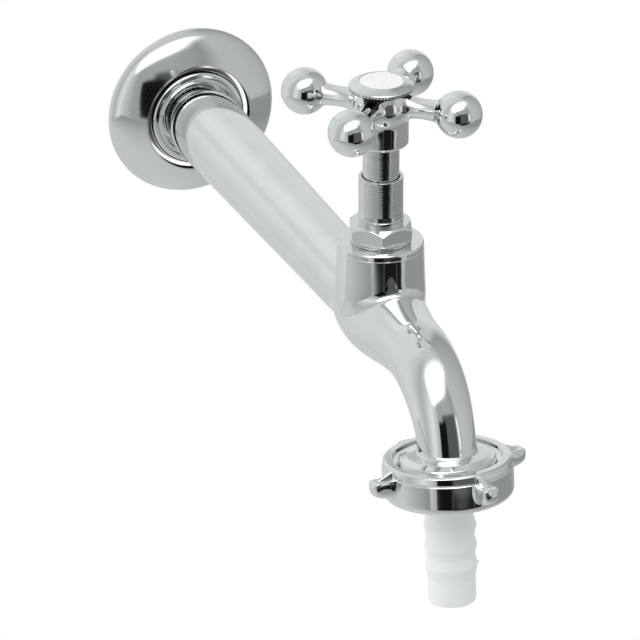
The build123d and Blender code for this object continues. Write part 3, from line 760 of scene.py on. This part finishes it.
def hexagon_cut(angle, radius, height):
    """How far the six flats and the turned chamfer lie inside the bonnet's round blank."""
    soft = 0.05
    total = np.zeros_like(angle)
    for k in range(6):
        toward = np.cos(angle - HEX_TURN - math.pi / 6 - k * math.pi / 3)
        flat = HEX_ACROSS / 2 / np.maximum(toward, 0.05)
        total += np.exp(-(flat - 8) / soft)
    for edge in (HEX_TOP - height, height - RING_TOP + 0.5):
        total += np.exp(-(8.2 + 1.05 * edge - 8) / soft)
    flats = 8 - soft * np.log(total)
    return np.where(radius > HEX_BLANK - 0.1, HEX_BLANK - flats, 0.0)


def make_bonnet():
    """Bonnet: ring and sleeve turned in one, with the hexagon milled between them."""
    turning = rounded([
        (5.95, 13.0, 0.1), (7.2, 13.0, 0.3), (7.7, 13.5, 0.2), (7.7, BOSS_TOP + 0.5, 0.1),
        (8.4, BOSS_TOP + 0.5, 0.05), (8.4, BOSS_TOP + 0.1, 0.05), (8.8, BOSS_TOP + 0.1, 0.1),
        (8.8, RING_TOP - 0.1, 0.15),
        (6.9, RING_TOP + 0.2, 0.2), (SLEEVE_R + 0.12, HEX_TOP - 0.5, 0.2),
        (SLEEVE_R + 0.1, 30.3, 0.1), (SLEEVE_R - 0.12, 30.5, 0.1), (SLEEVE_R + 0.06, 30.7, 0.1),
        (SLEEVE_R, 32.0, 0.6), (SLEEVE_R, SLEEVE_TOP, 0.2), (5.5, SLEEVE_TOP, 0.08), (5.5, 41.0, 0.1),
        (5.3, 40.8, 0.1), (5.3, 24.5, 0.2), (5.9, 24.5, 0.1),
    ], closed=True)
    turned("bonnet_turning", turning, VALVE, "tap", shank_chrome, ["bonnet"])
    hexagon = rounded([
        (6.4, RING_TOP, 0.05), (HEX_BLANK, RING_TOP, 0.06), (HEX_BLANK, HEX_TOP, 0.06),
        (6.4, HEX_TOP, 0.05),
    ], closed=True)
    hexagon = divided(*hexagon, 0.12, RING_TOP, HEX_TOP)
    turned("bonnet_hexagon", hexagon, VALVE, "tap", cap_chrome, segments=360,
           cut=hexagon_cut)


def make_spindle():
    """Spindle: thread in the bonnet, ground shank with two ring grooves, and the handle's square."""
    outline = rounded([
        (0, 15.0, 0), (2.58, 15.0, 0.1), (2.58, 7.0, 0.1), (4.7, 7.0, 0.2), (4.9, 8.5, 0.2),
        (5.5, 8.5, 0.2), (5.85, 8.9, 0.2), (5.85, 18.1, 0.2), (5.45, 18.5, 0.2), (4.62, 18.5, 0.2),
        (4.62, 20.0, 0.2),
        (SPINDLE_R, 20.6, 0.2), (SPINDLE_R, 26.95, 0.1), (4.32, 26.95, 0.1), (4.32, 28.05, 0.1),
        (SPINDLE_R, 28.05, 0.1), (SPINDLE_R, 30.95, 0.1), (4.32, 30.95, 0.1), (4.32, 32.05, 0.1),
        (SPINDLE_R, 32.05, 0.1), (SPINDLE_R, SPINDLE_SHOULDER, 0.3), (3.6, SPINDLE_SHOULDER, 0.1),
        (3.5, SPINDLE_TOP, 0.2), (0, SPINDLE_TOP, 0),
    ])
    turned("spindle_turning", outline, VALVE, "handle", shank_chrome, ["spindle"],
           closed=False)


def milling(angle, radius, height):
    """Fine upright teeth round the cap's band."""
    teeth, depth = 60, 0.32
    wave = np.abs(np.sin(teeth * angle / 2))
    ends = np.clip((height - BAND_FOOT) / 0.1, 0, 1) * np.clip((BAND_TOP - height) / 0.15, 0, 1)
    return np.where(radius > CAP_R - 0.02, depth * (1 - wave) * ends, 0.0)


def make_cap():
    """Index cap with its milled band and bevel, and the bare white disc let into it."""
    outline = rounded([
        (DISC_R + 0.05, CAP_TOP - 0.05, 0.08), (DISC_R + 0.05, 71.0, 0.1), (0, 71.0, 0),
        (0, 69.8, 0), (5.1, 69.8, 0.2), (5.1, 67.2, 0.2), (6.5, 67.2, 0.2), (6.5, HUB_TOP, 0.2),
        (7.3, HUB_TOP, 0.1), (7.3, BAND_FOOT, 0.1), (CAP_R, BAND_FOOT, 0.06), (CAP_R, BAND_TOP, 0.1),
        (9.0, BAND_TOP + 0.2, 0.1), (7.85, 71.26, 6.0), (6.6, CAP_TOP, 0.5), (6.4, CAP_TOP, 0.1),
    ], closed=True)
    outline = divided(*outline, 0.1, BAND_FOOT, BAND_TOP)
    turned("index_bezel_ring", outline, VALVE, "handle", cap_chrome, ["index_bezel"],
           segments=480, cut=milling)
    disc = rounded([
        (0, 71.0, 0), (DISC_R, 71.0, 0.05), (DISC_R, CAP_TOP - 0.12, 0.12), (3.5, CAP_TOP + 0.04, 20),
        (0, CAP_TOP + 0.08, 0),
    ])
    turned("index_disc_enamel", disc, VALVE, "handle", enamel_disc, ["index_disc"],
           closed=False)


def make_nut():
    """Union nut: rim, collar band, drum with a rounded foot, and its four lugs."""
    outline = rounded([
        (8.0, -9.3, 0.2), (8.0, -NUT_HEIGHT, 0.3), (NUT_R, -NUT_HEIGHT, 2.2), (NUT_R, -2.95, 0.2),
        (NUT_R - 0.3, -2.65, 0.12), (NUT_R - 0.1, -2.2, 0.3), (NUT_R - 0.35, -0.5, 0.5),
        (NUT_R - 1.0, 0, 0.4), (NUT_MOUTH_R + 0.1, 0, 0.25), (NUT_MOUTH_R, -1.1, 0.2),
        (13.3, -1.9, 0.2), (13.3, -9.3, 0.2),
    ], closed=True, steps=8)
    turned("union_nut_ring", outline, OUTLET, "nut", nut_chrome, ["union_nut"],
           segments=200)
    for quarter in range(4):
        angle = LUG_TURN + quarter * QUARTER_TURN
        place = OUTLET @ Matrix.Rotation(angle, 4, "Z")
        make_lug(f"union_nut_lug_{quarter + 1}", place)


def make_lug(name, place):
    """One lug: a flat-topped finger, rounded underneath, that flares into the drum, and the thin
    gusset that runs from its top up to the rim."""
    finger = [
        (NUT_R - 1.2, 3.4, -2.3, -9.2), (NUT_R - 0.3, 3.0, -2.4, -9.0), (NUT_R + 0.3, 2.6, -2.55, -8.7),
        (NUT_R + 1.0, 2.45, -2.65, -8.4), (NUT_R + 2.2, 2.4, -2.7, -8.1), (NUT_R + 3.6, 2.4, -2.7, -7.8),
        (NUT_R + 4.8, 2.4, -2.72, -7.3), (NUT_R + 5.5, 2.25, -2.8, -6.8), (NUT_R + 5.85, 1.9, -3.0, -6.2),
        (NUT_R + LUG_REACH, 1.3, -3.4, -5.6),
    ]
    gusset = [
        (NUT_R - 0.9, 1.2, -0.6, -4.0), (NUT_R - 0.2, 0.85, -0.7, -4.0), (NUT_R + 0.6, 0.75, -1.05, -4.0),
        (NUT_R + 4.0, 0.7, -2.55, -4.0), (NUT_R + 4.6, 0.6, -2.8, -4.0),
    ]
    points, faces = [], []
    for stations, power_up, power_down in ((finger, 0.3, 0.75), (gusset, 0.5, 0.5)):
        lofted(stations, power_up, power_down, points, faces)
    matrix = np.array(place)
    points = np.array(points) @ matrix[:3, :3].T + matrix[:3, 3]
    return add_piece(name, points, faces, "nut", nut_chrome)


def lofted(stations, power_up, power_down, points, faces, sides=48):
    """Adds a closed loft through (distance out, half width, top, bottom) stations. A low power
    gives that half of the section square corners, a high one a round form."""
    base = len(points)
    for out, half_width, top, bottom in stations:
        middle = top - min(1.3, (top - bottom) / 2)
        for k in range(sides):
            a = 2 * math.pi * k / sides
            c, s = math.cos(a), math.sin(a)
            power, high = (power_up, top - middle) if s > 0 else (power_down, middle - bottom)
            points.append((out, half_width * math.copysign(abs(c) ** power, c),
                           middle + high * math.copysign(abs(s) ** power, s)))
    for i in range(len(stations) - 1):
        for k in range(sides):
            m = (k + 1) % sides
            row, after = base + i * sides, base + (i + 1) * sides
            faces.append((row + k, row + m, after + m, after + k))
    faces.append([base + k for k in range(sides)][::-1])
    faces.append([base + (len(stations) - 1) * sides + k for k in range(sides)])


def make_tail():
    """Hose tail of milky plastic with soft ridges and the nib left by the mould."""
    ridges = []
    for crest in (-20.8, -26.6, -32.4):
        ridges += [(TAIL_R + 0.02, crest + 2.9, 2.6), (TAIL_R + 0.72, crest, 1.6)]
    corners = [
        (4.7, -7.2, 0.2), (4.7, TAIL_END, 0.5), (TAIL_R, TAIL_END, 1.4), (TAIL_R, TAIL_END + 7.6, 2.0),
        *[(r, h, rounding) for r, h, rounding in reversed(ridges)],
        (TAIL_R, -9.3, 0.2), (12.3, -9.3, 0.3), (12.3, -7.2, 0.3),
    ]
    turned("hose_tail_moulding", rounded(corners, closed=True, steps=12), OUTLET, "tail",
           polythene, ["hose_tail"])
    nib = rounded([(0, -1.0, 0), (0.56, -1.0, 0.1), (0.58, 0.3, 0.3), (0.4, 1.6, 0.3), (0, 1.6, 0)])
    side = OUTLET @ Matrix.Translation((TAIL_R, 0, NIB_LEVEL)) @ Matrix.Rotation(math.pi / 2, 4, "Y")
    turned("hose_tail_nib", nib, side, "tail", polythene, segments=24, closed=False)


make_body()
make_handle()
make_inlet()
make_escutcheon()
make_bonnet()
make_spindle()
make_cap()
make_nut()
make_tail()

# Pieces inside the tap keep their own shape and get their own finish
for node_name, finish in (
    ("inlet_washer", red_fibre), ("bonnet_gasket", red_fibre), ("spindle_ring_lower", nitrile),
    ("spindle_ring_upper", nitrile), ("jumper", bare_brass), ("seat_washer", nitrile),
    ("washer_nut", bare_brass), ("screw_washer", bright_steel), ("handle_screw", bright_steel),
    ("hose_washer", nitrile),
):
    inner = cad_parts[node_name]
    inner.data.materials.clear()
    inner.data.materials.append(finish)


def level_ramp(tree, share, levels):
    """Colour ramp round a full turn, from (degrees, colour) pairs that run from -180 to 180."""
    ramp = add_node(tree, "ShaderNodeValToRGB", {"Fac": share})
    elements = ramp.color_ramp.elements
    while len(elements) > 1:
        elements.remove(elements[-1])
    for i, (degrees, level) in enumerate(levels):
        place = (degrees + 180) / 360
        element = elements[0] if i == 0 else elements.new(place)
        element.position = place
        element.color = linear(level)
    return ramp


def studio_world():
    """A tent of grey walls round the tap: each heading has its own level, as in a small studio."""
    world = bpy.data.worlds.new("studio")
    bpy.context.scene.world = world
    world.use_nodes = True
    tree = world.node_tree
    tree.nodes.clear()
    way = add_node(tree, "ShaderNodeTexCoord").outputs["Generated"]
    parts = add_node(tree, "ShaderNodeSeparateXYZ", {"Vector": way})
    toward = add_node(tree, "ShaderNodeMath", {0: parts.outputs["Y"], 1: -1.0}, operation="MULTIPLY")
    heading = add_node(tree, "ShaderNodeMath", {0: parts.outputs["X"], 1: toward.outputs[0]},
                       operation="ARCTAN2")
    share = add_node(tree, "ShaderNodeMapRange", {"Value": heading.outputs[0], "From Min": -math.pi,
                                                  "From Max": math.pi})
    walls = level_ramp(tree, share.outputs["Result"], [
        (-180, "#d8dada"), (-150, "#d4d6d6"), (-118, "#d6d8d8"), (-103, "#c4c6c6"), (-92, "#b2b4b4"),
        (-80, "#c4c6c6"), (-64, "#e2e4e4"), (-50, "#c2c4c4"), (-38, "#a0a2a2"), (-8, "#a8aaaa"),
        (14, "#a2a4a4"), (26, "#969898"), (42, "#bcbebe"), (60, "#bcbebe"), (90, "#b2b4b4"),
        (118, "#a4a6a6"), (128, "#989a9a"), (138, "#c6c8c8"), (155, "#c4c6c6"), (180, "#d8dada"),
    ])
    top = add_node(tree, "ShaderNodeMapRange",
                   {"Value": parts.outputs["Z"], "From Min": 0.86, "From Max": 0.99}, clamp=True)
    roofed = add_node(tree, "ShaderNodeMix", {"Factor": top.outputs["Result"], 6: walls.outputs["Color"],
                                              7: linear("#c8caca")}, data_type="RGBA")
    # Behind the tap the light comes in soft bands that fan out from the middle: the arm draws them
    # along its whole length
    fan = add_node(tree, "ShaderNodeMath", {0: parts.outputs["Z"], 1: parts.outputs["X"]},
                   operation="ARCTAN2")
    fan_share = add_node(tree, "ShaderNodeMapRange", {"Value": fan.outputs[0], "From Min": -math.pi,
                                                      "From Max": math.pi})
    bands = level_ramp(tree, fan_share.outputs["Result"], [
        (-180, "#e9e9e9"), (-152, "#e0e0e0"), (-130, "#e0e0e0"), (-112, "#d8d8d8"), (-92, "#d8d8d8"),
        (-70, "#e6e6e6"), (-40, "#eeeeee"), (-16, "#ececec"), (2, "#f8f8f8"), (48, "#fafafa"),
        (62, "#f0f0f0"), (88, "#eeeeee"), (106, "#f4f4f4"), (128, "#f2f2f2"), (140, "#e6e6e6"),
        (150, "#e6e6e6"), (163, "#efefef"), (180, "#e9e9e9"),
    ])
    behind = add_node(tree, "ShaderNodeMapRange",
                      {"Value": parts.outputs["Y"], "From Min": 0.6, "From Max": 0.78}, clamp=True)
    banded = add_node(tree, "ShaderNodeMix", {"Factor": behind.outputs["Result"], 6: linear("#e7e7e7"),
                                              7: bands.outputs["Color"]}, data_type="RGBA")
    lit = add_node(tree, "ShaderNodeMix", {"Factor": 1.0, 6: roofed.outputs[2], 7: banded.outputs[2]},
                   data_type="RGBA", blend_type="MULTIPLY")
    studio = add_node(tree, "ShaderNodeBackground", {"Color": lit.outputs[2], "Strength": 1.4})
    page = add_node(tree, "ShaderNodeBackground", {"Color": (1, 1, 1, 1), "Strength": 1.0})
    ray = add_node(tree, "ShaderNodeLightPath")
    mixed = add_node(tree, "ShaderNodeMixShader", {0: ray.outputs["Is Camera Ray"],
                                                   1: studio.outputs[0], 2: page.outputs[0]})
    add_node(tree, "ShaderNodeOutputWorld", {"Surface": mixed.outputs[0]})


def glow(name, hex_colour, strength):
    """A card or panel that shines at an even level and thins out where its fade runs to nought."""
    material = bpy.data.materials.new(name)
    material.use_nodes = True
    tree = material.node_tree
    tree.nodes.clear()
    shine = add_node(tree, "ShaderNodeEmission", {"Color": linear(hex_colour), "Strength": strength})
    clear = add_node(tree, "ShaderNodeBsdfTransparent")
    fade = add_node(tree, "ShaderNodeAttribute", attribute_name="fade")
    mixed = add_node(tree, "ShaderNodeMixShader",
                     {0: fade.outputs["Fac"], 1: clear.outputs[0], 2: shine.outputs[0]})
    add_node(tree, "ShaderNodeOutputMaterial", {"Surface": mixed.outputs[0]})
    return material


def card(name, corners, material, soft=0.0, cells=24):
    """A stage card through four corners in metres, seen only in reflections and as light. Its
    edges may fade over a share of its size."""
    a, b, c, d = (np.array(corner) for corner in corners)
    share = np.linspace(0, 1, cells + 1)
    ease = np.clip(np.minimum(share, 1 - share) / soft, 0, 1) if soft else np.ones(cells + 1)
    ease = ease * ease * (3 - 2 * ease)
    u, v = np.meshgrid(share, share, indexing="ij")
    u, v = u[..., None], v[..., None]
    points = (1 - v) * ((1 - u) * a + u * b) + v * ((1 - u) * d + u * c)
    row = cells + 1
    faces = [(i * row + j, (i + 1) * row + j, (i + 1) * row + j + 1, i * row + j + 1)
             for i in range(cells) for j in range(cells)]
    mesh = bpy.data.meshes.new(name)
    mesh.from_pydata(points.reshape(-1, 3).tolist(), [], faces)
    fade = mesh.attributes.new("fade", "FLOAT", "POINT")
    fade.data.foreach_set("value", np.outer(ease, ease).reshape(-1))
    mesh.materials.append(material)
    panel = bpy.data.objects.new(name, mesh)
    bpy.context.scene.collection.objects.link(panel)
    panel.visible_camera = False
    panel.visible_shadow = False
    return panel


HANDLE_CENTRE = Vector((0, -0.158, 0.065))      # the cards are laid out as seen from here
TABLE_LEVEL = -0.32


def ceiling(corners, height):
    """Corners of a level card above the handle, from offsets in heights."""
    return [tuple(HANDLE_CENTRE + Vector((x * height, y * height, height))) for x, y in corners]


def front(left, right, low, high, distance):
    """Corners of an upright card in front of the handle, from offsets in distances."""
    return [
        tuple(HANDLE_CENTRE + Vector((x, -1, z)) * distance)
        for x, z in ((left, low), (right, low), (right, high), (left, high))
    ]


studio_world()
card("overhead_softbox", ceiling([(-2.15, -1.5), (0.36, -1.2), (0.92, 0.02), (-1.2, -0.1)], 0.65),
     glow("softbox_face", "#ffffff", 2.8), soft=0.36)
card("dark_screen_left", front(-0.82, -0.2, -0.57, 0.34, 0.61), glow("black_cloth", "#101412", 1.0),
     soft=0.1)
card("dark_screen_right", front(-0.5, 0.46, -0.44, 0.46, 0.62), glow("grey_cloth", "#5a5c5c", 1.0),
     soft=0.1)
card("dark_screen_foot", front(-0.26, 0.4, -0.62, -0.37, 0.615),
     glow("dark_cloth_foot", "#161818", 1.0), soft=0.08)
card("dark_screen_step", front(0.36, 0.66, -0.56, -0.36, 0.613),
     glow("dark_cloth_step", "#161818", 1.0), soft=0.1)
card("window_strip", front(0.48, 0.64, -0.28, 0.38, 0.6), glow("window", "#ffffff", 1.1), soft=0.15)

# Pale table below, whose edges are the horizon in the chrome; its light falls off from the middle
table = card("studio_table", [(-1.05, -0.8, TABLE_LEVEL), (1.05, -0.8, TABLE_LEVEL),
                              (1.05, 0.3, TABLE_LEVEL), (-1.05, 0.3, TABLE_LEVEL)],
             glow("pale_table", "#ffffff", 1.0))
tree = table.data.materials[0].node_tree
place = add_node(tree, "ShaderNodeTexCoord").outputs["Object"]
spot = add_node(tree, "ShaderNodeVectorMath", {0: place, 1: (-0.35, 0.1, TABLE_LEVEL)},
                operation="DISTANCE")
falloff = spread_ramp(tree, spot.outputs["Value"], "#d3d5d5", "#989a9a", 0.35, 0.94)
tree.links.new(falloff, next(n for n in tree.nodes if n.type == "EMISSION").inputs["Color"])

# Camera: a long lens from the left front, a little above
CAMERA_HEADING = math.radians(-21.378)
CAMERA_RISE = math.radians(25.567)
CAMERA_DISTANCE = 1.527
CAMERA_LENS = 288.7
LOOK_AT = Vector((0.00417, -0.1, -0.02894))
back = Vector((math.sin(CAMERA_HEADING) * math.cos(CAMERA_RISE),
               -math.cos(CAMERA_HEADING) * math.cos(CAMERA_RISE), math.sin(CAMERA_RISE)))
lens = bpy.data.cameras.new("camera")
lens.lens = CAMERA_LENS
lens.sensor_width = 36
lens.clip_start, lens.clip_end = 0.05, 20
camera = bpy.data.objects.new("camera", lens)
camera.location = LOOK_AT + back * CAMERA_DISTANCE
camera.rotation_euler = (-back).to_track_quat("-Z", "Y").to_euler()
bpy.context.scene.collection.objects.link(camera)
bpy.context.scene.camera = camera
bpy.context.scene.view_settings.view_transform = "Standard"
